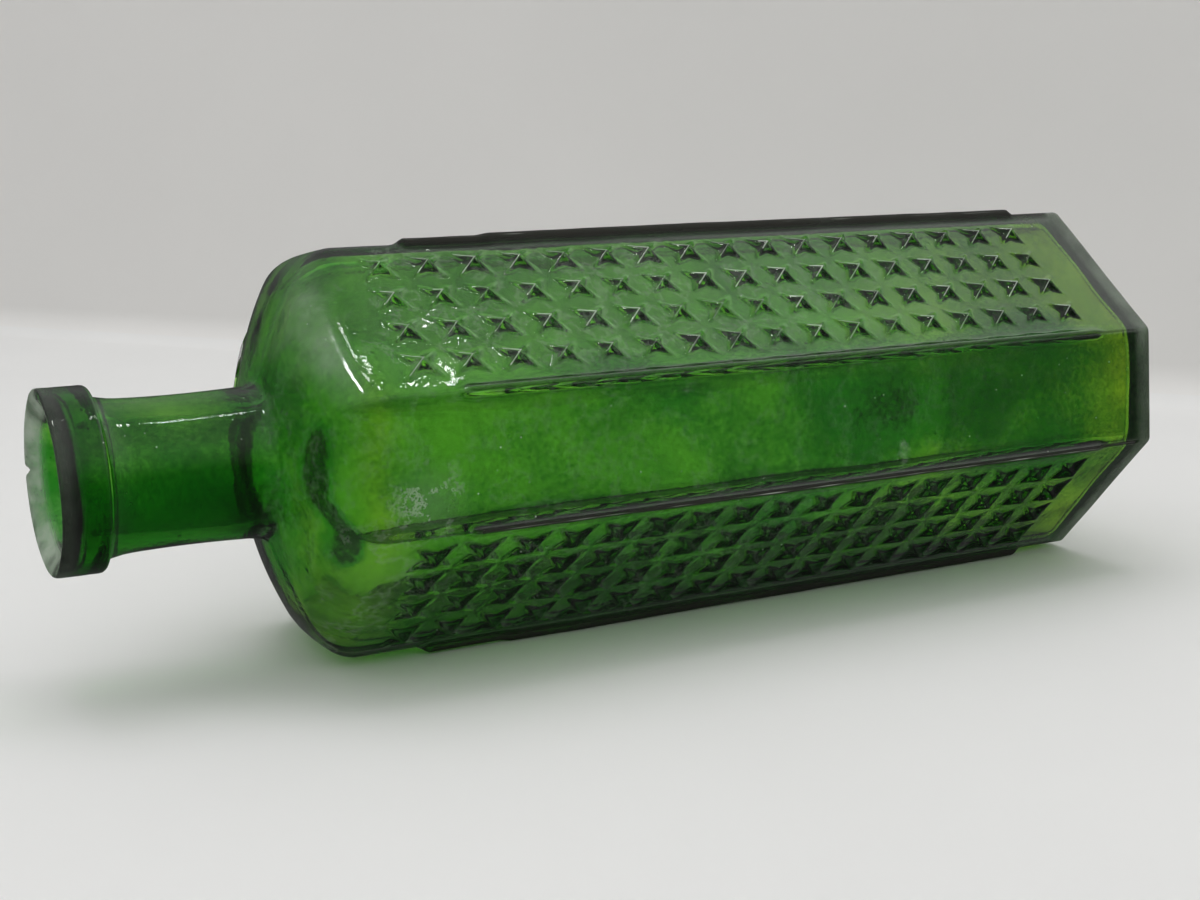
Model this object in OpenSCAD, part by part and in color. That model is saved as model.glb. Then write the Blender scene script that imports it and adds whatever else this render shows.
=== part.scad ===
// A flat-backed six-sided glass bottle, lying on one side panel with its mouth towards -X.
// The section is drawn upright round the neck's axis, front panel towards -Y, and then turned to lie flat.

/* [Lip] */
// Outer diameter of the lip ring
lip_d = 27.4; // [26:0.1:34]
// Length of the lip ring along the bottle
lip_l = 7; // [4:0.5:12]
// Rounding of the lip ring's outer edges
lip_round = 0.9; // [0.3:0.1:1.5]
// Rounding of the mouth's inner edge
mouth_round = 1.2; // [0.4:0.1:1.5]

/* [Neck] */
// Outer diameter of the neck
neck_d = 23; // [21:0.1:25]
// Length of the neck between the lip ring and the shoulder
neck_l = 24.5; // [12:0.5:45]
// Bore of the mouth and the neck
bore_d = 17; // [12:0.1:18]

/* [Shoulder] */
// Radius of the domed shoulder
dome_r = 60; // [52:1:90]
// Length of the shoulder from the neck to the start of the body
shoulder_l = 10.5; // [9:0.5:18]

/* [Body] */
// Length of the body from the shoulder to the base
body_l = 142; // [80:1:220]
// Width over the two widest corners
body_w = 64; // [58:0.5:74]
// Depth from the front panel to the back panel
body_depth = 55; // [48:0.5:64]
// Width of the front panel
front_w = 20.5; // [14:0.5:30]
// Width of the back panel
back_w = 59; // [50:0.5:64]
// Depth from the front panel to the widest corners
slant_depth = 22.9; // [18:0.1:28]
// Thickness of the glass wall
wall = 3; // [2:0.1:5]

/* [Base] */
// Thickness of the base
base_l = 6; // [4:0.5:10]
// Diameter of the hollow under the base
punt_d = 34; // [20:1:44]
// Depth of the hollow under the base
punt_h = 1.5; // [0.5:0.1:3]

/* [Corner ribs] */
// Radius of a corner rib
rib_r = 1.25; // [0.8:0.05:2]
// Height of a rib above the panels on both sides of it
rib_proud = 1.1; // [0.4:0.05:1.4]
// Distance from the start of the body to the ribs
rib_start = 12; // [5:0.5:30]
// Distance from the ribs to the base
rib_end = 6; // [1:0.5:20]

/* [Diamond points] */
// Length of one point along the bottle
point_l = 7.74; // [4:0.01:14]
// Width of one point across its panel
point_w = 6.75; // [4:0.01:10]
// Height of the points above the panel
point_h = 1.8; // [0.6:0.1:3]
// Height of a point's lower slope, as a share of its full height
waist_rise = 0.3; // [0.15:0.05:0.5]
// Reach of a point's lower slope, as a share of the way to its tip
waist_reach = 0.55; // [0.5:0.05:0.75]
// Depth of the point plate in the wall
inlay = 0.6; // [0.3:0.1:1.2]
// Plain strip between a corner rib and the points
point_edge = 0.95; // [0.4:0.05:3]
// Distance from the start of the body to the points
point_start = 3.5; // [1:0.5:20]
// Distance from the points to the base
point_end = 6.5; // [1:0.5:20]

/* [Hidden] */
$fn = 64;
glass_green = [0.10, 0.46, 0.14];
dark_green = [0.05, 0.28, 0.10];
light_green = [0.20, 0.58, 0.18];
// How far a cutter runs past the face that it cuts
over = 1;

// Places along the bottle, counted from the mouth
shoulder_x = lip_l + neck_l;
body_x = shoulder_x + shoulder_l;
base_x = body_x + body_l;
total_l = base_x + base_l;
dome_x = shoulder_x + sqrt(pow(dome_r, 2) - pow(neck_d / 2, 2));

// Corners of the section as [Y, Z], from the lower front one upwards and round the back
wide_y = slant_depth - body_depth / 2;
section = [
    [-body_depth / 2, -front_w / 2],
    [-body_depth / 2, front_w / 2],
    [wide_y, body_w / 2],
    [body_depth / 2, back_w / 2],
    [body_depth / 2, -back_w / 2],
    [wide_y, -body_w / 2]
];
UPPER_SLANT = 1;
LOWER_SLANT = 5;

function run(i) = (section[(i + 1) % 6] - section[i]) / norm(section[(i + 1) % 6] - section[i]);
function outward(i) = [-run(i)[1], run(i)[0]];

// Corner i moved inwards by gap from both of its panels
function inner_corner(i, gap) =
    let (sum = outward((i + 5) % 6) + outward(i))
    section[i] - sum * 2 * gap / (sum * sum);

// The angle that lays the side panel below the lower wide corner on the ground
lie = atan2((body_w - back_w) / 2, body_depth - slant_depth);
function laid(p) = [p[0] * cos(lie) + p[1] * sin(lie), p[1] * cos(lie) - p[0] * sin(lie)];

rib_centres = [for (i = [0:5]) inner_corner(i, rib_r - rib_proud)];
rib_sides = [for (c = rib_centres) laid(c)[0]];
middle_y = (min(rib_sides) + max(rib_sides)) / 2;
ground_z = laid(section[LOWER_SLANT])[1] - rib_proud;

// The grid of points on a slanted panel
slant_w = norm(section[2] - section[1]);
point_rows = floor((slant_w - 2 * (rib_r + point_edge)) / point_w);
point_span = body_l - point_start - point_end;
point_columns = floor(point_span / point_l);
grid_l = point_columns * point_l;
grid_w = point_rows * point_w;
grid_x = body_x + point_start + (point_span - grid_l) / 2;
grid_y = (slant_w - grid_w) / 2;

// Turns the upright bottle onto its side panel and sets it on the ground, middle over the origin
module lay() {
    translate([-total_l / 2, -middle_y, -ground_z]) rotate([-lie, 0, 0]) children();
}

// A round solid on the bottle's axis, from an outline of [distance from the mouth, radius] points
module round_on_axis(outline) {
    rotate([0, 90, 0]) rotate_extrude() polygon([for (p = outline) [p[1], p[0]]]);
}

module rod(from, to, r) {
    translate([from, 0, 0]) rotate([0, 90, 0]) cylinder(h = to - from, r = r);
}

// The section, inset by gap and extruded along the bottle
module prism(from, to, gap = 0) {
    translate([from, 0, 0]) rotate([90, 0, 90])
        linear_extrude(to - from) polygon([for (i = [0:5]) inner_corner(i, gap)]);
}

// A round-nosed bar that shapes the shoulder
module dome(r) {
    translate([dome_x, 0, 0]) sphere(r);
    rod(dome_x, dome_x + total_l, r);
}

module outside(from, to) {
    intersection() {
        prism(from, to);
        dome(dome_r);
    }
}

module inside() {
    intersection() {
        prism(shoulder_x, base_x, wall);
        dome(dome_r - wall);
    }
}

// An arc of a rounded edge as [distance, radius] points
function arc(centre, r, from, to) = [
    for (k = [0:6]) let (a = from + (to - from) * k / 6) centre + r * [cos(a), sin(a)]
];

module lip_ring() {
    outer = lip_d / 2;
    inner = bore_d / 2;
    color(dark_green) lay() round_on_axis(concat(
        arc([mouth_round, inner + mouth_round], mouth_round, -90, -180),
        arc([lip_round, outer - lip_round], lip_round, 180, 90),
        arc([lip_l - lip_round, outer - lip_round], lip_round, 90, 0),
        [[lip_l, inner]]
    ));
}

module neck() {
    color(glass_green) lay() difference() {
        rod(lip_l, shoulder_x, neck_d / 2);
        rod(lip_l - over, shoulder_x + over, bore_d / 2);
    }
}

module shoulder() {
    color(glass_green) lay() difference() {
        outside(shoulder_x, body_x);
        inside();
        rod(shoulder_x - over, body_x, bore_d / 2);
    }
}

// Frame of panel i: X along the bottle, Y across from corner i, Z outwards
module on_panel(i) {
    translate([0, section[i][0], section[i][1]]) rotate([atan2(run(i)[1], run(i)[0]), 0, 0]) children();
}

module point_pocket() {
    translate([grid_x, grid_y, -inlay]) cube([grid_l, grid_w, inlay + over]);
}

module body_shell() {
    color(glass_green) lay() difference() {
        outside(body_x, base_x);
        inside();
        on_panel(UPPER_SLANT) point_pocket();
        on_panel(LOWER_SLANT) point_pocket();
    }
}

module base() {
    punt_r = (pow(punt_d / 2, 2) + pow(punt_h, 2)) / (2 * punt_h);
    color(dark_green) lay() difference() {
        prism(base_x, total_l);
        translate([total_l + punt_r - punt_h, 0, 0]) sphere(punt_r);
    }
}

module corner_rib(i) {
    from = body_x + rib_start + rib_r;
    to = base_x - rib_end - rib_r;
    color(dark_green) lay() difference() {
        translate([0, rib_centres[i][0], rib_centres[i][1]]) {
            rod(from, to, rib_r);
            translate([from, 0, 0]) sphere(rib_r);
            translate([to, 0, 0]) sphere(rib_r);
        }
        prism(body_x, base_x);
    }
}

// Outline of a row of points: count waisted peaks of the given pitch on a plate
module ridge_outline(count, pitch) {
    reach = waist_reach * pitch / 2;
    polygon(concat(
        [[0, -inlay], [0, 0]],
        [for (k = [0:count - 1], p = [
            [reach, waist_rise * point_h],
            [pitch / 2, point_h],
            [pitch - reach, waist_rise * point_h],
            [pitch, 0]
        ]) [k * pitch + p[0], p[1]]],
        [[count * pitch, -inlay]]
    ));
}

// Crossed ridges leave one waisted pyramid in each cell of the grid
module point_panel(i) {
    color(light_green) lay() on_panel(i) translate([grid_x, grid_y, 0]) intersection() {
        translate([0, grid_w, 0]) rotate([90, 0, 0]) linear_extrude(grid_w) ridge_outline(point_columns, point_l);
        rotate([90, 0, 90]) linear_extrude(grid_l) ridge_outline(point_rows, point_w);
    }
}

lip_ring();
neck();
shoulder();
body_shell();
base();
for (i = [0:5]) {
    corner_rib(i);
}
point_panel(UPPER_SLANT);  // point_panel_upper
point_panel(LOWER_SLANT);  // point_panel_lower
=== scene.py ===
import math

import bpy
import numpy as np
from bpy.props import FloatProperty, FloatVectorProperty, PointerProperty
from mathutils import Matrix, Vector


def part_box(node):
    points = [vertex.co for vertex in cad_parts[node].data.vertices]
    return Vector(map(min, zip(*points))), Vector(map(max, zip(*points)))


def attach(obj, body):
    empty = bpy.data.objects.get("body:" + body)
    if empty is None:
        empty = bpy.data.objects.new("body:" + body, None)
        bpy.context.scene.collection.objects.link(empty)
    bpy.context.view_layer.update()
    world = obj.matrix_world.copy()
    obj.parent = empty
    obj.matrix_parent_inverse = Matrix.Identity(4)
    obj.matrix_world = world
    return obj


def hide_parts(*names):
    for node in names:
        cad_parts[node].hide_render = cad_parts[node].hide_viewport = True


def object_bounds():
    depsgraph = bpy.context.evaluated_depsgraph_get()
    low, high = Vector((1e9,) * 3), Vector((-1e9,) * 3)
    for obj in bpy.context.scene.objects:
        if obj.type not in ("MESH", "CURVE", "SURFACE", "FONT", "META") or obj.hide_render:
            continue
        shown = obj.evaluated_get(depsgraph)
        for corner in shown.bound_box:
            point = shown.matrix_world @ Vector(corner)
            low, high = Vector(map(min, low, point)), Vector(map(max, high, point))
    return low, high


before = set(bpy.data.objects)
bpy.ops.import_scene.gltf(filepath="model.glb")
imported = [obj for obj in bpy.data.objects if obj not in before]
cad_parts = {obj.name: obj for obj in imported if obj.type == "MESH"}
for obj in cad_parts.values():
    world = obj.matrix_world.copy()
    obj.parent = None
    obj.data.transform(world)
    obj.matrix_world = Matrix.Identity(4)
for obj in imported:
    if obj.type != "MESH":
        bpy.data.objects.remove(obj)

bl_info = {
    "name": "Six-sided glass bottle",
    "version": (1, 0, 0),
    "blender": (4, 5, 0),
    "location": "3D View > Sidebar > Bottle",
    "description": "Makes a moulded green glass bottle with ribbed corners and diamond points",
    "category": "Object",
}

MM = 0.001
CAD_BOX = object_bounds()

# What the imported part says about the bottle's places, in metres along X
MOUTH_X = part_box("lip_ring")[0].x
LIP_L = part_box("lip_ring")[1].x - MOUTH_X
SHOULDER_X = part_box("shoulder")[0].x - MOUTH_X
BASE_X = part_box("base")[0].x - MOUTH_X
TOTAL_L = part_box("base")[1].x - MOUTH_X
LIP_R = (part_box("lip_ring")[1].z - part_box("lip_ring")[0].z) / 2
NECK_R = (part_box("neck")[1].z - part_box("neck")[0].z) / 2
AXIS_Y = (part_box("neck")[1].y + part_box("neck")[0].y) / 2
AXIS_Z = (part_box("neck")[1].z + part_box("neck")[0].z) / 2

FRONT, UPPER_SLANT, TOP_SIDE, BACK, GROUND_SIDE, LOWER_SLANT = range(6)


def length(name, description, default, low, high):
    return FloatProperty(
        name=name, description=description, default=default, min=low, max=high,
        unit="LENGTH", precision=5,
    )


class BottleGlassSizes(bpy.types.PropertyGroup):
    depth: length("Depth", "From the front panel to the back panel", 55 * MM, 0.04, 0.07)
    width: length("Width", "Over the two widest corners", 64 * MM, 0.05, 0.08)
    front_w: length("Front width", "Width of the front panel", 20.5 * MM, 0.01, 0.03)
    back_w: length("Back width", "Width of the back panel", 59 * MM, 0.04, 0.07)
    slant_depth: length("Slant depth", "From the front panel to the widest corners", 22.9 * MM, 0.01, 0.03)
    wall: length("Wall", "Thickness of the glass wall", 3 * MM, 0.002, 0.006)
    floor: length("Floor", "Thickness of the base", 3.5 * MM, 0.003, 0.01)
    dome_r: length("Dome radius", "Radius of the domed shoulder", 60 * MM, 0.05, 0.09)
    bore_r: length("Bore radius", "Radius of the mouth's bore", 8.5 * MM, 0.005, 0.01)
    corner_r: length("Corner radius", "Rounding of the corners between the panels", 1.8 * MM, 0.0005, 0.002)
    rim_round: length("Rim rounding", "Reach of the soft fold round the shoulder", 4.4 * MM, 0.001, 0.006)
    neck_round: length("Neck rounding", "Reach of the fillet between neck and shoulder", 1.6 * MM, 0.0005, 0.004)
    base_round: length("Base rounding", "Rounding of the base's edge", 1.0 * MM, 0.0003, 0.002)
    punt_r: length("Punt radius", "Radius of the hollow under the base", 17 * MM, 0.01, 0.022)
    punt_h: length("Punt depth", "Depth of the hollow under the base", 1.5 * MM, 0.0003, 0.003)
    rib_r: length("Rib radius", "Radius of a corner rib", 1.25 * MM, 0.0008, 0.002)
    rib_proud: length("Rib height", "Height of a rib above its panels", 1.1 * MM, 0.0004, 0.0014)
    rib_start: length("Rib start", "Distance from the mouth to the ribs", 53.4 * MM, 0.04, 0.08)
    rib_end: length("Rib end", "Distance from the mouth to the ribs' far ends", 178.6 * MM, 0.1, 0.185)
    point_l: length("Point length", "Length of one diamond point", 7.74 * MM, 0.004, 0.014)
    point_w: length("Point width", "Width of one diamond point", 6.75 * MM, 0.004, 0.01)
    point_h: length("Point height", "Height of the diamond points", 1.75 * MM, 0.0005, 0.003)
    point_x: length("Point start", "Distance from the mouth to the points", 45.71 * MM, 0.04, 0.08)
    outer_wave: length("Outer waves", "Unevenness of the outer skin", 0.10 * MM, 0.0, 0.0005)
    inner_wave: length("Inner waves", "Unevenness of the inner skin", 0.55 * MM, 0.0, 0.001)


class BottleGlassFinish(bpy.types.PropertyGroup):
    tint: FloatVectorProperty(
        name="Tint", description="What the surface lets through", subtype="COLOR",
        size=3, default=(0.40, 0.72, 0.25), min=0, max=1,
    )
    depth_colour: FloatVectorProperty(
        name="Depth colour", description="Colour that the glass keeps with depth", subtype="COLOR",
        size=3, default=(0.42, 0.75, 0.04), min=0, max=1,
    )
    # Also the colour of milder painted shade
    deep: FloatVectorProperty(
        name="Deep tint", description="What the surface lets through where the glass is thick", subtype="COLOR",
        size=3, default=(0.05, 0.32, 0.06), min=0, max=1,
    )
    # The colour of the strongest painted shade, as in the dark fold round the shoulder and along the ribs
    dark: FloatVectorProperty(
        name="Dark tint", description="What the surface lets through at the darkest folds", subtype="COLOR",
        size=3, default=(0.003, 0.02, 0.004), min=0, max=1,
    )
    olive: FloatVectorProperty(
        name="Olive tint", description="What the surface lets through towards the base", subtype="COLOR",
        size=3, default=(0.92, 0.84, 0.24), min=0, max=1,
    )
    # Colour of the painted highlights on the points' ridges and along two ribs
    glint_colour: FloatVectorProperty(
        name="Worn edges", description="Colour of the rubbed edges of the points", subtype="COLOR",
        size=3, default=(0.80, 0.86, 0.76), min=0, max=1,
    )
    dust: FloatVectorProperty(
        name="Dust", description="Colour of the rubbed dirt on the ribs", subtype="COLOR",
        size=3, default=(0.035, 0.035, 0.03), min=0, max=1,
    )
    depth_density: FloatProperty(
        name="Depth density", description="How fast the glass darkens with depth, per metre",
        default=300.0, min=0, max=2000,
    )
    # Colour of the pale film, for residue and for painted sheen and glow
    bloom_and_sheen: FloatVectorProperty(
        name="Bloom", description="Colour of the pale residue on the glass", subtype="COLOR",
        size=3, default=(0.52, 0.60, 0.50), min=0, max=1,
    )


class BottleStageLook(bpy.types.PropertyGroup):
    table: FloatVectorProperty(
        name="Table", description="Colour of the table", subtype="COLOR",
        size=3, default=(0.84, 0.84, 0.83), min=0, max=1,
    )
    wall: FloatVectorProperty(
        name="Wall", description="Colour of the wall behind", subtype="COLOR",
        size=3, default=(0.84, 0.83, 0.81), min=0, max=1,
    )
    soft_power: FloatProperty(
        name="Soft light", description="Power of the large lamp overhead, in watts",
        default=2.8, min=0, max=200,
    )
    spark_power: FloatProperty(
        name="Sparks", description="Power of each small lamp overhead, in watts",
        default=1.0, min=0, max=50,
    )
    sky: FloatProperty(
        name="Room light", description="Strength of the even light of the room",
        default=0.98, min=0, max=2,
    )


# ------------------------------------------------------------------ shader maths


class Wire:
    """A socket that adds its Math nodes when it is used in an expression."""

    def __init__(self, tree, socket):
        self.tree, self.socket = tree, socket

    def _maths(self, operation, a, b=0.0):
        return self.tree.node("ShaderNodeMath", {"operation": operation}, {0: a, 1: b})

    def __add__(self, other):
        return self._maths("ADD", self, other)

    def __sub__(self, other):
        return self._maths("SUBTRACT", self, other)

    def __mul__(self, other):
        return self._maths("MULTIPLY", self, other)

    def __rsub__(self, other):
        return self._maths("SUBTRACT", other, self)

    __radd__ = __add__
    __rmul__ = __mul__


class Shader:
    """The node tree of a new material, or of the world, with one method that adds any node."""

    def __init__(self, name="", tree=None):
        if tree is None:
            self.material = bpy.data.materials.new(name)
            self.material.use_nodes = True
            tree = self.material.node_tree
        self.tree = tree
        self.tree.nodes.clear()

    def node(self, kind, settings=None, inputs=None, output=0):
        n = self.tree.nodes.new(kind)
        for key, value in (settings or {}).items():
            if key == "stops":
                ramp = n.color_ramp
                while len(ramp.elements) < len(value):
                    ramp.elements.new(0.5)
                for element, (place, shade) in zip(ramp.elements, value):
                    element.position = place
                    element.color = (*shade, 1) if hasattr(shade, "__len__") else (shade, shade, shade, 1)
            else:
                setattr(n, key, value)
        for key, value in (inputs or {}).items():
            if isinstance(value, Wire):
                self.tree.links.new(value.socket, n.inputs[key])
            else:
                n.inputs[key].default_value = value
        return Wire(self, n.outputs[output])

    def blend(self, share, a, b):
        return self.node("ShaderNodeMix", {"data_type": "RGBA"}, {0: share, 6: a, 7: b}, output=2)

    def ramp(self, value, low, high, first=0.0, last=1.0):
        return self.node("ShaderNodeMapRange", {"interpolation_type": "SMOOTHSTEP"}, {
            "Value": value, "From Min": low, "From Max": high, "To Min": first, "To Max": last,
        })


# ------------------------------------------------------------------ the glass skin


def smooth(t):
    t = np.clip(t, 0, 1)
    return t * t * (3 - 2 * t)


def curve(a, control, b, steps, first=True):
    """Points of a quadratic curve from a to b that leans towards control."""
    ts = np.linspace(0, 1, steps + 1)[0 if first else 1:]
    return [(1 - t) ** 2 * a + 2 * t * (1 - t) * control + t * t * b for t in ts]


class Section:
    """Samples round the six-sided section, in the bottle's own frame: Y away from the front, Z up."""

    CORNER_STEPS = 10
    POINT_STEPS = 16
    PANEL_STEPS = {FRONT: 10, TOP_SIDE: 6, BACK: 10, GROUND_SIDE: 6}
    # How much of the full rib each corner has, from the lower front one upwards and round the back
    RIB_SHARE = (0.48, 0.60, 0.9, 1, 1, 1)

    def __init__(self, s):
        wide_y = s.slant_depth - s.depth / 2
        self.corners = np.array([
            (-s.depth / 2, -s.front_w / 2),
            (-s.depth / 2, s.front_w / 2),
            (wide_y, s.width / 2),
            (s.depth / 2, s.back_w / 2),
            (s.depth / 2, -s.back_w / 2),
            (wide_y, -s.width / 2),
        ])
        self.runs = np.roll(self.corners, -1, axis=0) - self.corners
        self.widths = np.linalg.norm(self.runs, axis=1)
        self.runs = self.runs / self.widths[:, None]
        self.outs = np.stack([-self.runs[:, 1], self.runs[:, 0]], axis=1)
        self.reach = np.einsum("ij,ij->i", self.corners, self.outs)
        self.lie = math.atan2((s.width - s.back_w) / 2, s.depth - s.slant_depth)
        self.rows = int((self.widths[UPPER_SLANT] - 4 * MM) / s.point_w)
        self.zone = (self.widths[UPPER_SLANT] - self.rows * s.point_w) / 2
        plain, ribbed, normal, panel, across = [], [], [], [], []
        for i in range(6):
            for p0, p1, n, d in self.corner(i, s):
                plain.append(p0)
                ribbed.append(p1)
                normal.append(n)
                panel.append(i if d >= 0 else (i + 5) % 6)
                across.append(d if d >= 0 else self.widths[(i + 5) % 6] + d)
            steps = self.PANEL_STEPS.get(i, self.rows * self.POINT_STEPS)
            for t in np.linspace(self.zone, self.widths[i] - self.zone, steps + 1)[1:-1]:
                p = self.corners[i] + self.runs[i] * t
                plain.append(p)
                ribbed.append(p)
                normal.append(self.outs[i])
                panel.append(i)
                across.append(t)
        self.plain, self.ribbed, self.normal = map(np.array, (plain, ribbed, normal))
        self.panel, self.across = np.array(panel), np.array(across)
        self.ribbed = (np.roll(self.ribbed, 1, 0) + 2 * self.ribbed + np.roll(self.ribbed, -1, 0)) / 4
        self.count = len(self.plain)
        self.radius = np.linalg.norm(self.plain, axis=1)
        self.angle = np.unwrap(np.arctan2(self.plain[:, 1], self.plain[:, 0]))
        turn = -2 * math.pi / self.count * np.arange(self.count)
        self.even = turn + (self.angle - turn).mean()

    def inner_corner(self, i, gap):
        both = self.outs[(i + 5) % 6] + self.outs[i]
        return self.corners[i] - both * 2 * gap / (both @ both)

    def corner(self, i, s):
        """(plain point, ribbed point, normal, signed distance from the corner) across corner i."""
        before, after = self.outs[(i + 5) % 6], self.outs[i]
        middle = math.atan2(*(before + after)[::-1])
        half = math.acos(np.clip(before @ after, -1, 1)) / 2
        side = np.sign(before[0] * after[1] - before[1] * after[0])
        rib_r, rib_proud = s.rib_r * self.RIB_SHARE[i], s.rib_proud * self.RIB_SHARE[i]
        foot = half + math.acos((rib_r - rib_proud) / rib_r)
        centres = self.inner_corner(i, s.corner_r), self.inner_corner(i, rib_r - rib_proud)
        found = []
        for k in range(self.CORNER_STEPS + 1):
            t = 2 * k / self.CORNER_STEPS - 1
            inner, outer = min(max(t / 0.667, -1), 1), max(abs(t) - 0.667, 0) / 0.333
            spots = []
            for centre, r, most in zip(centres, (s.corner_r, rib_r), (half, foot)):
                a = middle + side * inner * most
                spots.append(centre + r * np.array([math.cos(a), math.sin(a)]))
            a = middle + side * inner * half
            end = self.corners[i] + (self.runs[i] if t > 0 else -self.runs[(i + 5) % 6]) * self.zone
            found.append((
                spots[0] * (1 - outer) + end * outer,
                spots[1] * (1 - outer) + end * outer,
                np.array([math.cos(a), math.sin(a)]),
                t * self.zone,
            ))
        return found

    def inside(self, angle, wall):
        """Radius of the inner skin at each angle, with softly rounded corners."""
        rounding = 38
        facing = np.cos(angle[:, None] - np.arctan2(self.outs[:, 1], self.outs[:, 0])[None])
        near = np.clip(facing, 0, None) / (self.reach - wall)[None]
        return (near ** rounding).sum(1) ** (-1 / rounding)


def point_height(u, v, lot, s):
    """Height of a diamond point at (u, v) in its cell, each from -1 to 1. Its ridges run towards the cell's corners.

    lot holds three even random numbers for each place, which make the points differ, as if rubbed unevenly.
    """
    reach, arm, top = 0.84 + 0.16 * lot[..., 0], 0.26 + 0.06 * lot[..., 1], 0.84 + 0.16 * lot[..., 2]
    p, q = np.abs(u + v) / 2 / reach, np.abs(u - v) / 2 / reach
    along, off = np.maximum(p, q), np.minimum(p, q)
    ridge = np.clip(1 - along / 0.82, 0, None) ** 1.25
    width = arm * np.clip(1 - along, 0, None) ** 1.1 + 0.02
    return s.point_h * top * ridge * np.clip(1 - off / width, 0, None) ** 1.3


def waves(places, size, seed, count=14):
    """Smooth unevenness from -1 to 1 at these places, with swells about size across."""
    rng = np.random.default_rng(seed)
    total = np.zeros(places.shape[:-1])
    for _ in range(count):
        way = rng.normal(size=3)
        way *= rng.uniform(0.6, 1.5) / np.linalg.norm(way) / size
        total += np.sin(2 * math.pi * (places @ way) + rng.uniform(0, 2 * math.pi))
    return total / math.sqrt(count) / 1.6


def bell(t, centre, reach):
    return np.exp(-((t - centre) / reach) ** 2)


class Skin:
    """Rings of points that wrap the bottle, from the middle of the base out to the mouth and back inside."""

    def __init__(self, s):
        self.s, self.section = s, Section(s)
        self.rings = []
        columns = round((s.rib_end - s.point_x) / s.point_l)
        self.lots = np.random.default_rng(8).random((columns, self.section.rows, 2, 3))
        self.lots[:, :, 0, 0] += 0.8
        self.dome_x = SHOULDER_X + math.sqrt(s.dome_r ** 2 - NECK_R ** 2)
        self.outside()
        self.outer_rings = len(self.rings)
        self.mouth()
        self.inside()

    def ring(self, x, across):
        across = np.asarray(across)
        self.rings.append(np.column_stack([np.broadcast_to(x, len(across)), across]))

    def round_ring(self, x, r):
        turn = self.section.even
        self.ring(x, np.stack([np.cos(turn), np.sin(turn)], 1) * np.reshape(r, (-1, 1)))

    def dome(self, r, wall=0.0):
        return self.dome_x - np.sqrt((self.s.dome_r - wall) ** 2 - r ** 2)

    def outside(self):
        s, c = self.s, self.section
        inset = c.plain - c.normal * s.base_round
        for share in np.linspace(0, 1, 13)[:-1] ** 0.8:
            r = np.linalg.norm(inset, axis=1) * share
            hollow = s.punt_h * smooth(1.15 - r / s.punt_r)
            self.ring(TOTAL_L - hollow, inset * share)
        for t in np.linspace(0, math.pi / 2, 6):
            out = s.base_round * (1 - math.sin(t))
            self.ring(TOTAL_L - s.base_round * (1 - math.cos(t)), c.plain - c.normal * out)
        dome_r = c.radius - s.rim_round
        rim_x = self.dome(c.radius)
        fold = rim_x + s.rim_round
        start = np.maximum(s.point_x - 0.7 * MM, fold + 0.3 * MM)
        columns = round((s.rib_end - s.point_x) / s.point_l)
        grid_end = s.point_x + columns * s.point_l
        stations = np.concatenate([
            np.linspace(TOTAL_L - s.base_round, grid_end, 12)[1:],
            np.linspace(grid_end, s.point_x, columns * c.POINT_STEPS + 1)[1:],
            [s.point_x - 0.7 * MM],
        ])
        self.point_rings = (len(self.rings) + 10, len(self.rings) + 10 + columns * c.POINT_STEPS)
        low, high = s.point_x - 0.7 * MM, TOTAL_L - s.base_round
        for x in stations:
            place = start + (x - low) * (high - start) / (high - low)
            self.ring(place, self.wall(place, grid_end))
        plain = c.plain
        for share in (0.5, 1.0):
            place = start + (fold - start) * share
            self.ring(place, plain)
        inward = plain * (dome_r / c.radius)[:, None]
        a, k, b = (
            np.column_stack([fold, plain]),
            np.column_stack([rim_x, plain]),
            np.column_stack([self.dome(dome_r), inward]),
        )
        self.rings += curve(a, k, b, 9, first=False)
        neck_end = NECK_R + s.neck_round
        for t in np.linspace(0, 1, 17)[1:]:
            r = dome_r + (neck_end - dome_r) * t
            turn = c.angle + (c.even - c.angle) * smooth(t)
            self.ring(self.dome(r), np.stack([np.cos(turn), np.sin(turn)], 1) * r[:, None])
        corner = np.array([SHOULDER_X, NECK_R])
        for x, r in curve(
            np.array([self.dome(neck_end), neck_end]), corner,
            np.array([SHOULDER_X - s.neck_round, NECK_R]), 5, first=False,
        ):
            self.round_ring(x, r)

    def wall(self, place, grid_end):
        """Section points at the distances place, with the ribs and the diamond points raised."""
        s, c = self.s, self.section
        ramp = 2.2 * MM
        share = smooth((place - s.rib_start) / ramp) * smooth((s.rib_end - place) / ramp)
        points = c.plain + (c.ribbed - c.plain) * share[:, None]
        slant = np.isin(c.panel, (UPPER_SLANT, LOWER_SLANT))
        u = (place - s.point_x) / s.point_l
        v = (c.across - c.zone) / s.point_w
        within = slant & (u >= 0) & (place <= grid_end) & (v >= 0) & (v <= c.rows)
        column, row = np.floor(u).astype(int) % len(self.lots), np.floor(v).astype(int) % c.rows
        lot = self.lots[column, row, (c.panel == UPPER_SLANT).astype(int)]
        height = np.where(within, point_height(2 * (u % 1) - 1, 2 * (v % 1) - 1, lot, s), 0)
        return points + c.normal * height[:, None]

    def mouth(self):
        s = self.s
        # The neck is a little waisted and swells into the ring
        for x in np.linspace(SHOULDER_X - s.neck_round, LIP_L + 0.4 * MM, 18)[1:]:
            t = (x - LIP_L) / (SHOULDER_X - s.neck_round - LIP_L)
            waist = 0.30 * MM * math.sin(math.pi * t)
            self.round_ring(x, NECK_R - waist + 0.5 * MM * bell(x, LIP_L, 2.2 * MM))
        # Outline of the tooled ring: millimetres from the mouth, and radius as a share from the neck to the lip
        for x, share in (
            (7.12, 0.34), (7.02, 0.46), (6.98, 0.72), (6.9, 0.9), (6.65, 0.975), (6.2, 1.0), (5.0, 0.99), (3.5, 1.0),
            (2.0, 0.99), (1.0, 1.0), (0.5, 0.99), (0.2, 0.95), (0.04, 0.88), (0.0, 0.80),
        ):
            self.round_ring(x * MM, NECK_R + (LIP_R - NECK_R) * share)
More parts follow.
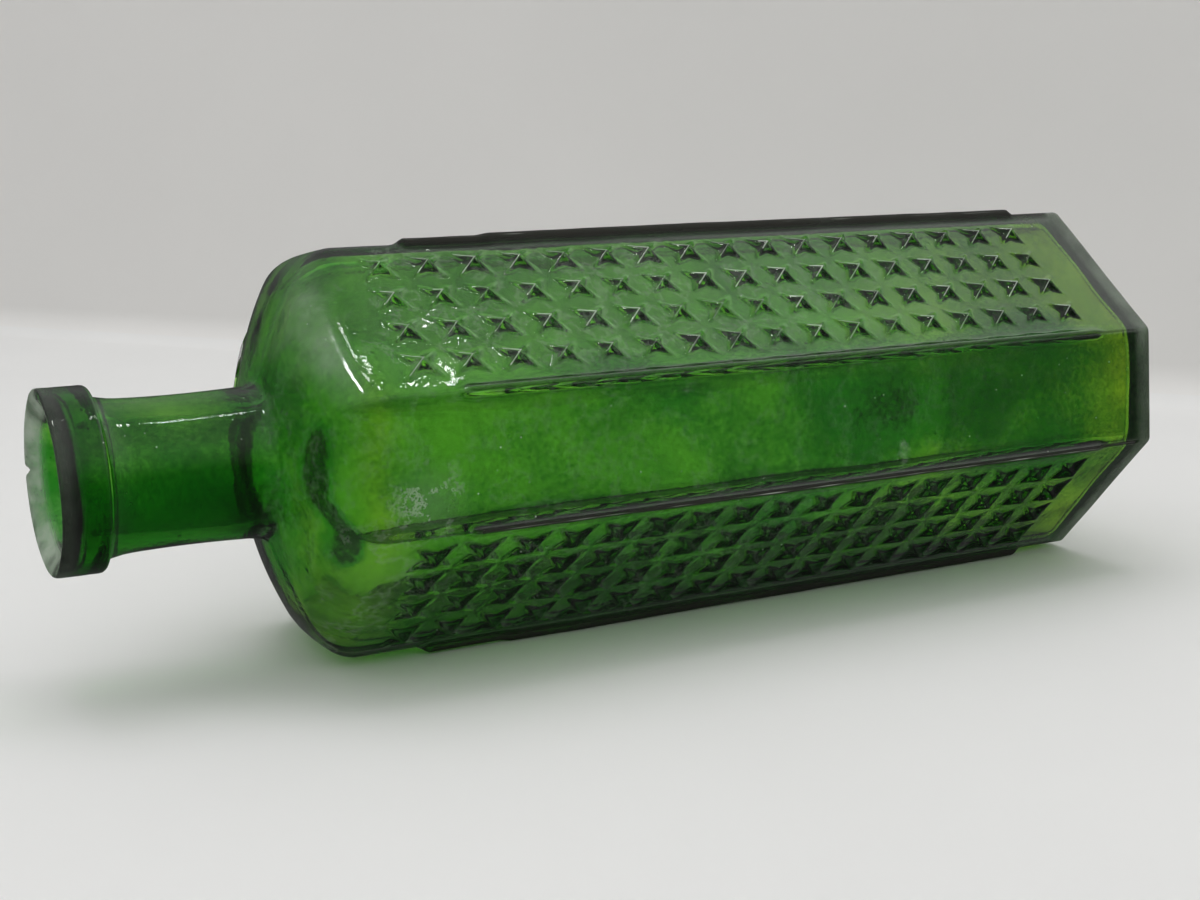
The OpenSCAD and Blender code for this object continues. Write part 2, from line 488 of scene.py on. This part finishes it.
        # The mouth is tooled to a funnel: millimetres from the mouth, and millimetres outside the bore
        for x, out in (
            (0.06, 4.4), (0.35, 3.8), (0.9, 3.0), (1.5, 2.2), (2.1, 1.45), (2.7, 0.8), (3.4, 0.3), (4.2, 0.05), (5.0, 0.0),
        ):
            self.round_ring(x * MM, s.bore_r + out * MM)

    def inside(self):
        s, c = self.s, self.section
        for x in np.linspace(5.0 * MM, SHOULDER_X - 2.5 * MM, 12)[1:]:
            self.round_ring(x, s.bore_r)
        widen = s.bore_r + 3.5 * MM
        for x, r in curve(
            np.array([SHOULDER_X - 2.5 * MM, s.bore_r]),
            np.array([self.dome(s.bore_r, s.wall), s.bore_r]),
            np.array([self.dome(widen, s.wall), widen]), 8, first=False,
        ):
            self.round_ring(x, r)
        turn = c.even
        way = np.stack([np.cos(turn), np.sin(turn)], 1)
        radius = c.inside(turn, s.wall)
        fold = 4.6 * MM
        end = radius - fold
        for t in np.linspace(0, 1, 9)[1:]:
            r = widen + (end - widen) * t
            self.ring(self.dome(r, s.wall), way * r[:, None])

        def at(x, r):
            return np.column_stack([np.broadcast_to(x, len(r)), way * r[:, None]])

        rim = self.dome(radius, s.wall)
        self.rings += curve(at(self.dome(end, s.wall), end), at(rim, radius), at(rim + fold, radius), 9, first=False)
        floor = TOTAL_L - s.floor
        bend = 2.0 * MM
        for t in np.linspace(0, 1, 21)[1:]:
            self.ring(rim + fold + (floor - bend - rim - fold) * t, way * radius[:, None])
        self.rings += curve(
            at(floor - bend, radius), at(floor, radius), at(floor, radius - bend), 8, first=False
        )
        for t in np.linspace(1, 0, 11)[1:]:
            r = (radius - bend) * t
            self.ring(floor - 0.9 * MM * smooth(1.1 - r / s.punt_r), way * r[:, None])

    def seam(self, grid):
        """Height of the mould seam over the shoulder and the neck, with the back half set a little lower."""
        x, y, z = grid[..., 0], grid[..., 1], grid[..., 2]
        reach = np.hypot(y, z)
        share = smooth((self.dome_x - x - 20 * MM) / (3 * MM)) * smooth((x - LIP_L - MM) / (2 * MM))
        height = 0
        for angle in (math.radians(100), math.radians(-103)):
            off = reach * np.angle(np.exp(1j * (np.arctan2(z, y) - angle))) * np.sign(-angle)
            near = np.abs(np.arctan2(z, y) - angle) < 1
            height = height + near * (0.22 * MM * bell(off, 0, 0.55 * MM))
        back = smooth((y + 0.2 * reach) / (1.2 * MM) + 0.5) * smooth((x - SHOULDER_X + MM) / (2 * MM))
        return share * (height - 0.35 * MM * back)

    def mark(self, grid, outer):
        """Depth of colour with painted shade and painted light in it, olive tint that also paints light, pale residue
        with painted sheen, rubbed dirt, painted glints, and rough film with painted sheen at each point, each from 0 to
        1.
        """
        c = self.section
        x, y, z = grid[..., 0], grid[..., 1], grid[..., 2]
        front = smooth((-20 * MM - y) / (5 * MM))
        past_rim = x - self.dome(c.radius)[None]
        low = smooth((2 * MM - z) / (6 * MM))
        # The neck is a little darker, with painted shade on its lower side and where it meets the shoulder; the lip
        # ring is darker too
        shade = (0.14 + 0.30 * low + 0.10 * bell(x, SHOULDER_X, 7 * MM)) * smooth((SHOULDER_X + 4 * MM - x) / (4 * MM))
        shade = np.maximum(shade, 0.45 * smooth((6 * MM - x) / (3 * MM)))
        # Painted shade: a dark band curls round the front of the shoulder's fold, thicker and further back lower down
        drop = np.clip(-4 * MM - z, 0, 9 * MM)
        arc = bell(past_rim, -3.2 * MM + 0.35 * drop, 1.15 * MM + 0.06 * drop)
        shade += (1.6 + 0.1 * drop / MM) * outer * arc * smooth((-14 * MM - y) / (5 * MM)) * smooth((z + 16 * MM) / (5 * MM)) * smooth(
            (9 * MM - z) / (6 * MM)
        )
        # Painted shade: the middle of the front panel is darkened
        shade += 0.62 * bell(x, 134 * MM, 28 * MM) * bell(z, 2 * MM, 11 * MM) * front
        shade += 0.22 * waves(grid, 22 * MM, 21)
        # Painted light: the lower part of the shoulder and a band by the base are made paler
        pale = smooth((-5 * MM - z) / (6 * MM)) * smooth((52 * MM - x) / (8 * MM)) * smooth((x - 33 * MM) / (4 * MM))
        shade -= 0.4 * pale + 0.15 * bell(x, 182 * MM, 6 * MM)
        # Painted shade: the front panel is darkened again nearer the base
        shade += 0.35 * bell(x, 165 * MM, 14 * MM) * front
        # Painted light: the upper slanted panel is made paler, most at its wedge by the base
        upper = smooth((z - 11 * MM) / (4 * MM)) * smooth((-2 * MM - y) / (4 * MM)) * smooth((x - 40 * MM) / (6 * MM))
        shade -= 0.35 * upper * np.maximum(smooth((170 * MM - x) / (50 * MM)), 1.2 * bell(x, 182 * MM, 5 * MM))
        # Olive tint towards the base; it also paints light as a bright strip beside the shoulder's dark fold, in the
        # base's band and in the pale patch
        olive = smooth((x - 145 * MM) / (40 * MM)) * (0.75 + 0.25 * waves(grid, 15 * MM, 23))
        olive = np.maximum(olive, 0.7 * bell(past_rim, 3.5 * MM, 2.5 * MM) * front + 0.12)
        olive = np.maximum(olive, np.maximum(bell(x, 184 * MM, 4 * MM), 0.5 * pale))
        # Painted light: a pale glow inside, by the floor
        residue = 0.8 * bell(x, 186 * MM, 2.0 * MM) * (1 - outer)
        # Pale residue streaks on the front, by the shoulder
        residue = np.maximum(residue, bell(x, 48 * MM, 6 * MM) * bell(z, -5 * MM, 5 * MM) * front)
        # Painted sheen: a pale film over the outside, more on the upper panel and fading towards the base, and over the
        # pale patch
        residue = np.maximum(residue, outer * (0.15 + 0.2 * upper) * smooth((200 * MM - x) / (110 * MM)))
        residue = np.maximum(residue, 0.4 * outer * pale)
        # For each corner's rib: the width of its marks, and how much painted shade darkens the glass along it
        rib_w = np.array([0.6, 0.5, 1.4, 1.2, 1.2, 1.2]) * MM
        rib_painted_shade = np.array([0.3, 0.0, 0.9, 0.6, 0.5, 0.9])
        this, next_ = c.panel, (c.panel + 1) % 6
        near = bell(c.across, 0, rib_w[this]), bell(c.across - c.widths[this], 0, rib_w[next_])
        sides = outer * smooth((TOTAL_L - 2.5 * MM - x) / (2 * MM))
        rib_dust = np.array([1.0, 0.3, 1.0, 1.0, 1.0, 1.0])
        rib = sides * np.minimum(1.6 * np.maximum(near[0] * rib_dust[this], near[1] * rib_dust[next_]), 1)
        # Painted shade along the ribs, darkest at the top and bottom ones
        shade += sides * np.maximum(near[0] * rib_painted_shade[this], near[1] * rib_painted_shade[next_]) * smooth(past_rim / (4 * MM))
        dirt = rib * smooth((x - self.s.rib_start) / (3 * MM)) * (1.0 + 0.2 * waves(grid, 12 * MM, 31))
        # Painted highlights: thin pale lines on the points' ridges, along the lower front rib and beside the top rib
        wear = 0.9 * self.ridges(grid, outer)
        rib_glint = np.maximum(
            bell(c.across, 0, 0.3 * MM) * (c.panel == FRONT),
            bell(c.across - c.widths[this], -0.6 * MM, 0.3 * MM) * (c.panel == UPPER_SLANT),
        )
        wear = np.maximum(wear, rib_glint * sides * (0.58 + 0.14 * waves(grid, 7 * MM, 37)) * (dirt > 0.3))
        # Roughness with a pale matte film: the film paints a sheen over the shoulder's fold and the dome above it, and
        # on the funnel's face, less on its near side; it also lies on the base's edge
        frost = 0.5 * bell(past_rim, 0, 3 * MM) * bell(z, 20 * MM, 7 * MM) * outer
        frost = np.maximum(frost, 0.12 * bell(past_rim, 3 * MM, 6 * MM) * bell(z, 29 * MM, 6 * MM) * outer)
        funnel = smooth((2.3 * MM - x) / (0.6 * MM)) * (1 - outer)
        frost = np.maximum(frost, funnel * (0.12 + 0.88 * smooth((y + 2 * MM) / (4 * MM))))
        frost = np.maximum(frost, 0.3 * smooth((x - 186 * MM) / (1.5 * MM)) * outer)
        return {
            "shade": np.clip(shade, -0.4, 1), "olive": np.clip(olive, 0, 1), "residue": np.clip(residue, 0, 1),
            "dirt": np.clip(dirt, 0, 1), "wear": np.clip(wear, 0, 1), "frost": np.clip(frost, 0, 1),
        }

    def ridges(self, grid, outer):
        """1 on the ridges of the upper panel's points, on their mouth sides, where painted highlights are drawn, and 0
        beside them.
        """
        s, c = self.s, self.section
        u = (grid[..., 0] - s.point_x) / s.point_l
        v = (c.across - c.zone) / s.point_w
        inside = (c.panel == UPPER_SLANT) & (u > 0) & (u < len(self.lots)) & (v > 0) & (v < c.rows) & (outer > 0)
        a, b = 2 * (u % 1) - 1, np.broadcast_to(2 * (v % 1) - 1, u.shape)
        lot = self.lots[np.floor(u).astype(int) % len(self.lots), np.floor(v).astype(int) % c.rows, 1]
        on = (np.abs(np.abs(a) - np.abs(b)) < 0.02) & (a <= 0.02) & (a > -0.25 - 0.5 * lot[..., 0])
        return inside * on * (0.72 + 0.28 * lot[..., 2])

    def places(self):
        """All the points as an array of rings by turns, uneven as blown glass is, in the part's own frame."""
        s, c = self.s, self.section
        grid = np.stack(self.rings)
        along = np.gradient(grid, axis=0)
        round_ = np.roll(grid, -1, 1) - np.roll(grid, 1, 1)
        normal = np.cross(along, round_)
        size = np.linalg.norm(normal, axis=2, keepdims=True)
        normal = np.where(size > 1e-12, normal / np.maximum(size, 1e-12), 0)
        if normal[len(grid) // 3, 0] @ np.array([0, *c.plain[0]]) < 0:
            normal = -normal
        outer = np.arange(len(grid)) < self.outer_rings
        inner = smooth((np.arange(len(grid)) - self.outer_rings - 24) / 12)
        shift = np.where(outer[:, None], s.outer_wave * (waves(grid, 26 * MM, 3) * 0.7 + waves(grid, 9 * MM, 5) * 0.3), 0)
        swell = waves(grid, 30 * MM, 11) * 0.6 + waves(grid * np.array([0.5, 1, 1]), 13 * MM, 13) * 0.4
        shift = shift + inner[:, None] * (s.inner_wave * swell)
        shift = shift + outer[:, None] * self.seam(grid)
        self.marks = self.mark(grid, outer[:, None])
        grid = grid + normal * shift[..., None]
        reach = np.hypot(grid[..., 1], grid[..., 2])
        chip = bell(LIP_R * np.arctan2(grid[..., 2], grid[..., 1]), 0.8 * MM, 0.6 * MM)
        chip = chip * smooth((reach - 11.6 * MM) / (1.2 * MM)) * smooth((1.8 * MM - grid[..., 0]) / (1.2 * MM))
        grid[..., 0] += 0.75 * MM * chip * smooth((grid[..., 1] + 5 * MM) / MM)
        cos, sin = math.cos(c.lie), math.sin(c.lie)
        x = grid[..., 0] + MOUTH_X
        y = grid[..., 1] * cos + grid[..., 2] * sin + AXIS_Y
        z = grid[..., 2] * cos - grid[..., 1] * sin + AXIS_Z
        low, high = (np.array(v) for v in CAD_BOX)
        return np.clip(np.stack([x, y, z], axis=2), low, high)


# ------------------------------------------------------------------ finishes


def glass_finish(look):
    sh = Shader("green_glass")
    place = sh.node("ShaderNodeTexCoord", output="Object")
    cloud = sh.node("ShaderNodeTexNoise", {"noise_dimensions": "3D"},
                    {"Vector": place, "Scale": 55.0, "Detail": 3.0, "Roughness": 0.55})
    skin = sh.node("ShaderNodeTexNoise", {"noise_dimensions": "3D"},
                   {"Vector": place, "Scale": 160.0, "Detail": 2.0, "Roughness": 0.5})
    fine = sh.node("ShaderNodeTexNoise", {"noise_dimensions": "3D"},
                   {"Vector": place, "Scale": 1100.0, "Detail": 2.0, "Roughness": 0.6})
    pits = sh.node("ShaderNodeTexVoronoi", {"feature": "F1"},
                   {"Vector": place, "Scale": 420.0, "Randomness": 1.0})
    pit = sh.node("ShaderNodeMapRange", {"interpolation_type": "SMOOTHSTEP"},
                  {"Value": pits, "From Min": 0.0, "From Max": 0.22, "To Min": 1.0, "To Max": 0.0})
    rare = sh.node("ShaderNodeMapRange", {"interpolation_type": "SMOOTHSTEP"},
                   {"Value": skin, "From Min": 0.56, "From Max": 0.66, "To Min": 0.0, "To Max": 1.0})
    speck = pit * rare
    stretch = sh.node("ShaderNodeMapping", {"vector_type": "POINT"}, {"Vector": place, "Scale": (0.06, 1.0, 1.0)})
    drawn = sh.node("ShaderNodeTexNoise", {"noise_dimensions": "3D"},
                    {"Vector": stretch, "Scale": 900.0, "Detail": 2.0, "Roughness": 0.5})
    drawn = drawn * sh.ramp(sh.node("ShaderNodeSeparateXYZ", {}, {0: place}), -0.066, -0.058, 1.0, 0.0)
    bump = sh.node("ShaderNodeBump", {},
                   {"Strength": 0.35, "Distance": 0.0004, "Height": cloud + skin * 0.35 + fine * 0.12 + drawn * 0.15 - speck * 0.5})
    haze = sh.node("ShaderNodeMapRange", {"interpolation_type": "SMOOTHSTEP"},
                   {"Value": cloud, "From Min": 0.50, "From Max": 0.72, "To Min": 0.015, "To Max": 0.06})
    shade = sh.node("ShaderNodeAttribute", {"attribute_name": "shade"}, output="Fac")
    olive = sh.node("ShaderNodeAttribute", {"attribute_name": "olive"}, output="Fac")
    thin = sh.blend(olive, (*look.tint, 1), (*look.olive, 1))
    seeds = sh.node("ShaderNodeTexVoronoi", {"feature": "F1"}, {"Vector": place, "Scale": 800.0, "Randomness": 1.0})
    seed = sh.ramp(seeds, 0.06, 0.16, 1.0, 0.0) * sh.ramp(cloud, 0.44, 0.56)
    shade = shade + (cloud - 0.5) * 0.5 + (skin - 0.5) * 0.6 + (fine - 0.5) * 0.7 + seed * 0.4
    # Thin, thick and dark glass by the shade, which holds painted shade and painted light besides the glass's own depth
    # of colour
    thick = sh.blend(sh.ramp(shade, -0.25, 0.5), thin, (*look.deep, 1))
    tint = sh.blend(sh.ramp(shade, 0.5, 1.0), thick, (*look.dark, 1))
    # Where the glass is rough and filmed; the film paints a sheen on the shoulder and on the funnel's face
    frost = sh.node("ShaderNodeAttribute", {"attribute_name": "frost"}, output="Fac")
    body = sh.node("ShaderNodeBsdfPrincipled", {}, {
        "Base Color": tint, "Roughness": haze + frost * 0.4, "IOR": 1.52, "Specular IOR Level": 0.38,
        "Transmission Weight": 1.0, "Normal": bump,
    })
    scum = sh.node("ShaderNodeTexNoise", {"noise_dimensions": "3D"},
                   {"Vector": place, "Scale": 95.0, "Detail": 6.0, "Roughness": 0.7})
    residue = sh.node("ShaderNodeAttribute", {"attribute_name": "residue"}, output="Fac")
    dirt = sh.node("ShaderNodeAttribute", {"attribute_name": "dirt"}, output="Fac")
    thread = sh.ramp(sh.node("ShaderNodeMath", {"operation": "ABSOLUTE"}, {0: scum - 0.5}), 0.0, 0.025, 1.0, 0.0)
    grain = sh.node("ShaderNodeTexNoise", {"noise_dimensions": "3D"},
                    {"Vector": place, "Scale": 900.0, "Detail": 3.0, "Roughness": 0.6})
    # The pale film: threads of residue, with painted sheen and glow
    left = residue * (thread * 0.4 + 0.10)
    rubbed = dirt * sh.ramp(grain * 0.5 + scum * 0.5, 0.32, 0.50, 0.85, 1.0)
    stray = sh.ramp(scum, 0.66, 0.80, 0.0, 0.25)
    # Painted highlights: the thin pale lines on the points' ridges and along two ribs
    wear = sh.ramp(sh.node("ShaderNodeAttribute", {"attribute_name": "wear"}, output="Fac"), 0.45, 0.85)
    film = sh.node("ShaderNodeBsdfPrincipled", {}, {
        "Base Color": sh.blend(wear, sh.blend(sh.ramp(dirt, 0.05, 0.3), (*look.bloom_and_sheen, 1), (*look.dust, 1)), (*look.glint_colour, 1)),
        "Roughness": 0.55, "Specular IOR Level": 0.04, "Normal": bump,
    })
    dots = sh.ramp(pits, 0.02, 0.07, 0.8, 0.0) * sh.ramp(cloud, 0.48, 0.60)
    where = sh.node("ShaderNodeMath", {"operation": "MAXIMUM"}, {0: left + stray + dots, 1: rubbed})
    where = sh.node("ShaderNodeMath", {"operation": "MAXIMUM"}, {0: where, 1: wear * (grain + 0.25)})
    where = sh.node("ShaderNodeMath", {"operation": "MAXIMUM"}, {0: where, 1: frost * sh.ramp(scum, 0.35, 0.65, 0.25, 0.8)})
    coated = sh.node("ShaderNodeMixShader", {}, {0: where, 1: body, 2: film})
    lamp = sh.node("ShaderNodeLightPath", output="Is Shadow Ray")
    clear = sh.node("ShaderNodeBsdfTransparent", {}, {"Color": (0.52, 0.63, 0.47, 1)})
    surface = sh.node("ShaderNodeMixShader", {}, {0: lamp, 1: coated, 2: clear})
    depth = sh.node("ShaderNodeVolumeAbsorption", {},
                    {"Color": (*look.depth_colour, 1), "Density": look.depth_density})
    out = sh.tree.nodes.new("ShaderNodeOutputMaterial")
    sh.tree.links.new(surface.socket, out.inputs["Surface"])
    sh.tree.links.new(depth.socket, out.inputs["Volume"])
    return sh.material


def plain_finish(name, colour, grain):
    sh = Shader(name)
    place = sh.node("ShaderNodeTexCoord", output="Object")
    cloud = sh.node("ShaderNodeTexNoise", {"noise_dimensions": "3D"},
                    {"Vector": place, "Scale": grain, "Detail": 4.0})
    shade = sh.node("ShaderNodeValToRGB", {"stops": [
        (0.3, [c * 0.97 for c in colour]), (0.7, colour),
    ]}, {"Fac": cloud})
    body = sh.node("ShaderNodeBsdfPrincipled", {}, {
        "Base Color": shade, "Roughness": 0.6, "Specular IOR Level": 0.25,
    })
    # The sheet is clear from behind, so that it hides nothing from the far side
    behind = sh.node("ShaderNodeNewGeometry", output="Backfacing")
    body = sh.node("ShaderNodeMixShader", {}, {0: behind, 1: body, 2: sh.node("ShaderNodeBsdfTransparent")})
    out = sh.tree.nodes.new("ShaderNodeOutputMaterial")
    sh.tree.links.new(body.socket, out.inputs["Surface"])
    return sh.material


# ------------------------------------------------------------------ operators


def deselect():
    if bpy.context.object and bpy.context.object.mode != "OBJECT":
        bpy.ops.object.mode_set(mode="OBJECT")
    bpy.ops.object.select_all(action="DESELECT")


class BOTTLE_OT_glass(bpy.types.Operator):
    """Wrap one sheet of glass round the whole bottle, outside and inside"""

    bl_idname = "bottle.glass"
    bl_label = "Glass bottle"

    def execute(self, context):
        sizes = context.scene.bottle_glass
        skin = Skin(sizes)
        places = skin.places()
        rings, turns = places.shape[:2]
        places = np.concatenate([places, places[:, :1]], axis=1)
        deselect()
        bpy.ops.mesh.primitive_grid_add(
            x_subdivisions=rings - 1, y_subdivisions=turns, size=2, location=(0, 0, 0)
        )
        bottle = context.object
        bottle.name = bottle.data.name = "glass_bottle"
        flat = np.empty(len(bottle.data.vertices) * 3)
        bottle.data.vertices.foreach_get("co", flat)
        flat = flat.reshape(-1, 3)
        i = np.round((flat[:, 0] + 1) / 2 * (rings - 1)).astype(int)
        j = np.round((flat[:, 1] + 1) / 2 * turns).astype(int)
        bottle.data.vertices.foreach_set("co", places[i, j].ravel())
        bottle.data.update()
        for name, amount in skin.marks.items():
            amount = np.concatenate([amount, amount[:, :1]], axis=1)
            bottle.data.attributes.new(name, "FLOAT", "POINT").data.foreach_set("value", amount[i, j])
        self.split_points(bottle, skin, i, j)
        bpy.ops.object.mode_set(mode="EDIT")
        bpy.ops.mesh.select_all(action="SELECT")
        bpy.ops.mesh.remove_doubles(threshold=2e-6)
        bpy.ops.mesh.normals_make_consistent(inside=False)
        bpy.ops.object.mode_set(mode="OBJECT")
        bpy.ops.object.shade_smooth()
        bottle.data.materials.clear()
        bottle.data.materials.append(glass_finish(context.scene.bottle_finish))
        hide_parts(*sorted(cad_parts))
        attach(bottle, "root")
        return {"FINISHED"}

    def split_points(self, bottle, skin, i, j):
        """Splits the faces of the diamond points along their ridges, so that these stay crisp."""
        c, (first, last) = skin.section, skin.point_rings
        steps = c.POINT_STEPS
        slant = np.isin(c.panel, (UPPER_SLANT, LOWER_SLANT))
        row = np.round((c.across - c.zone) / skin.s.point_w * steps).astype(int)
        slant, row = np.append(slant, slant[0]), np.append(row, row[0])
        corners = np.empty(len(bottle.data.polygons) * 4, np.int64)
        bottle.data.polygons.foreach_get("vertices", corners)
        corners = corners.reshape(-1, 4)
        column, row, slant = (i - first)[corners], row[j[corners]], slant[j[corners]]
        a, b = column.min(1), row.min(1)
        pointed = slant.all(1) & (a >= 0) & (column.max(1) <= last - first) & (b >= 0) & (
            row.max(1) <= c.rows * steps
        )
        rising = (a % steps < steps // 2) == (b % steps < steps // 2)
        first_rises = (column[:, 0] == a) == (row[:, 0] == b)
        way = np.where(pointed, np.where(rising == first_rises, 1, 2), 0).astype(np.int32)
        bottle.data.attributes.new("split_way", "INT", "FACE").data.foreach_set("value", way)
        bpy.context.tool_settings.mesh_select_mode = (False, False, True)
        for number, method in ((1, "FIXED"), (2, "FIXED_ALTERNATE")):
            way = np.empty(len(bottle.data.polygons), np.int32)
            bottle.data.attributes["split_way"].data.foreach_get("value", way)
            bottle.data.polygons.foreach_set("select", way == number)
            bpy.ops.object.mode_set(mode="EDIT")
            bpy.ops.mesh.quads_convert_to_tris(quad_method=method)
            bpy.ops.object.mode_set(mode="OBJECT")
        bottle.data.attributes.remove(bottle.data.attributes["split_way"])


class BOTTLE_OT_stage(bpy.types.Operator):
    """Set up the table, the wall behind, the lamps and the camera"""

    bl_idname = "bottle.stage"
    bl_label = "Stage"

    # The foot of the wall, as the photographed view shows it: a point on it and its direction
    WALL_FOOT, WALL_WAY = Vector((0.0517, 0.3861, 0)), Vector((0.559, -0.829, 0)).normalized()

    def execute(self, context):
        look = context.scene.bottle_stage
        away = Vector((-self.WALL_WAY.y, self.WALL_WAY.x, 0))
        half, depth, height, fold = 1.5, 1.4, 1.0, 0.012
        deselect()
        bpy.ops.mesh.primitive_plane_add(size=1, location=(0, 0, 0))
        sweep = context.object
        sweep.name = sweep.data.name = "table_and_wall"
        for v in sweep.data.vertices:
            across, back = v.co.x * 2 * half, (v.co.y - 0.5) * depth
            v.co = self.WALL_FOOT + self.WALL_WAY * across + away * back
        context.tool_settings.mesh_select_mode = (False, True, False)
        foot = [
            all(abs((sweep.data.vertices[k].co - self.WALL_FOOT).dot(away)) < 1e-6 for k in e.vertices)
            for e in sweep.data.edges
        ]
        sweep.data.polygons.foreach_set("select", [False] * len(sweep.data.polygons))
        sweep.data.edges.foreach_set("select", foot)
        bpy.ops.object.mode_set(mode="EDIT")
        bpy.ops.mesh.extrude_edges_move(TRANSFORM_OT_translate={"value": (0, 0, height)})
        bpy.ops.object.mode_set(mode="OBJECT")
        fold_edge = [
            all(abs((sweep.data.vertices[k].co - self.WALL_FOOT).dot(away)) < 1e-6
                and sweep.data.vertices[k].co.z < 1e-6 for k in e.vertices)
            for e in sweep.data.edges
        ]
        sweep.data.edges.foreach_set("select", fold_edge)
        bpy.ops.object.mode_set(mode="EDIT")
        bpy.ops.mesh.bevel(offset=fold, segments=8)
        bpy.ops.mesh.select_all(action="SELECT")
        bpy.ops.mesh.normals_make_consistent(inside=False)
        bpy.ops.object.mode_set(mode="OBJECT")
        if max(sweep.data.polygons, key=lambda face: face.area).normal.dot(Vector((0, 0, 1)) - away) < 0:
            bpy.ops.object.mode_set(mode="EDIT")
            bpy.ops.mesh.flip_normals()
            bpy.ops.object.mode_set(mode="OBJECT")
        bpy.ops.object.shade_smooth_by_angle(angle=0.9)
        for name, colour in (("table", look.table), ("wall", look.wall)):
            sweep.data.materials.append(plain_finish(name, colour, 9.0))
        for face in sweep.data.polygons:
            face.material_index = int(face.center.z > fold * 0.3)
        # The glass mirrors the soft dark of the room in place of the table
        sweep.visible_glossy = False
        soft = self.lamp("soft_overhead", (0.08, 0.14, 0.92), (0.7, 0.5), look.soft_power)
        soft.visible_glossy = soft.visible_transmission = False
        for name, place, size in (
            ("spark_left", (-0.20, -0.07, 0.80), (0.07, 0.07)), ("spark_right", (0.27, 0.012, 0.80), (0.018, 0.018)),
            ("spark_lip", (0.088, 0.0, 0.80), (0.016, 0.012)), ("spark_neck", (0.178, 0.0, 0.80), (0.016, 0.012)),
            ("spark_shoulder", (0.115, 0.0, 0.80), (0.016, 0.012)),
        ):
            spark = self.lamp(name, place, size, look.spark_power * size[0] * size[1] / 0.01)
            spark.visible_diffuse = spark.visible_transmission = False
        world = bpy.data.worlds.new("room")
        context.scene.world = world
        world.use_nodes = True
        tree = world.node_tree
        sh = Shader(tree=tree)
        way = sh.node("ShaderNodeTexCoord", output="Generated")
        up = sh.ramp(sh.node("ShaderNodeSeparateXYZ", {}, {0: way}, output="Z"), 0.0, 0.8)
        through = sh.node("ShaderNodeLightPath", output="Is Transmission Ray")
        mirrored = sh.node("ShaderNodeLightPath", output="Is Glossy Ray") * (1 - through)
        # The room is pale to the eye and through the glass, dark low down, and in the glass brightest to the right
        low = (sh.node("ShaderNodeLightPath", output="Is Camera Ray") + through) * 0.42 + 0.13
        right = sh.ramp(sh.node("ShaderNodeSeparateXYZ", {}, {0: way}, output="X"), 0.30, 0.65, 0.55, 0.0)
        level = (low + up * (1 - low)) * (1 - mirrored * right) * look.sky
        glow = sh.node("ShaderNodeBackground", {}, {"Color": (1, 1, 1, 1), "Strength": level})
        out = tree.nodes.new("ShaderNodeOutputWorld")
        tree.links.new(glow.socket, out.inputs["Surface"])
        self.camera(context)
        context.scene.view_settings.view_transform = "Standard"
        return {"FINISHED"}

    def lamp(self, name, place, size, power):
        bpy.ops.object.light_add(type="AREA", location=place)
        lamp = bpy.context.object
        lamp.name = lamp.data.name = name
        lamp.data.shape = "RECTANGLE"
        lamp.data.size, lamp.data.size_y = size
        lamp.data.energy = power
        lamp.rotation_euler = Vector(place).to_track_quat("Z", "Y").to_euler()
        return lamp

    def camera(self, context):
        """The camera that the photograph's outlines and the repeat of the points were fitted to."""
        data = bpy.data.cameras.new("photo_camera")
        data.sensor_width, data.lens = 36, 50.019
        camera = bpy.data.objects.new("photo_camera", data)
        context.scene.collection.objects.link(camera)
        right = Vector((0.8777274, -0.47900449, -0.01221924))
        down = Vector((-0.10076645, -0.15959319, -0.98202654))
        ahead = Vector((0.46844502, 0.86318289, -0.1883469))
        turn = Matrix((right, -down, -ahead)).transposed()
        camera.matrix_world = Matrix.Translation((-0.136134, -0.243655, 0.081322)) @ turn.to_4x4()
        context.scene.camera = camera


class BOTTLE_PT_panel(bpy.types.Panel):
    bl_idname = "BOTTLE_PT_panel"
    bl_label = "Glass bottle"
    bl_space_type = "VIEW_3D"
    bl_region_type = "UI"
    bl_category = "Bottle"

    def draw(self, context):
        for group in ("bottle_glass", "bottle_finish", "bottle_stage"):
            settings = getattr(context.scene, group)
            for key in settings.__annotations__:
                self.layout.prop(settings, key)
        for operator in (BOTTLE_OT_glass, BOTTLE_OT_stage):
            self.layout.operator(operator.bl_idname)


CLASSES = (
    BottleGlassSizes, BottleGlassFinish, BottleStageLook, BOTTLE_OT_glass, BOTTLE_OT_stage, BOTTLE_PT_panel,
)


def register():
    for c in CLASSES:
        bpy.utils.register_class(c)
    bpy.types.Scene.bottle_glass = PointerProperty(type=BottleGlassSizes)
    bpy.types.Scene.bottle_finish = PointerProperty(type=BottleGlassFinish)
    bpy.types.Scene.bottle_stage = PointerProperty(type=BottleStageLook)


def unregister():
    del bpy.types.Scene.bottle_stage
    del bpy.types.Scene.bottle_finish
    del bpy.types.Scene.bottle_glass
    for c in reversed(CLASSES):
        bpy.utils.unregister_class(c)


def main():
    register()
    bpy.ops.bottle.glass()
    bpy.ops.bottle.stage()


if __name__ == "__main__":
    main()
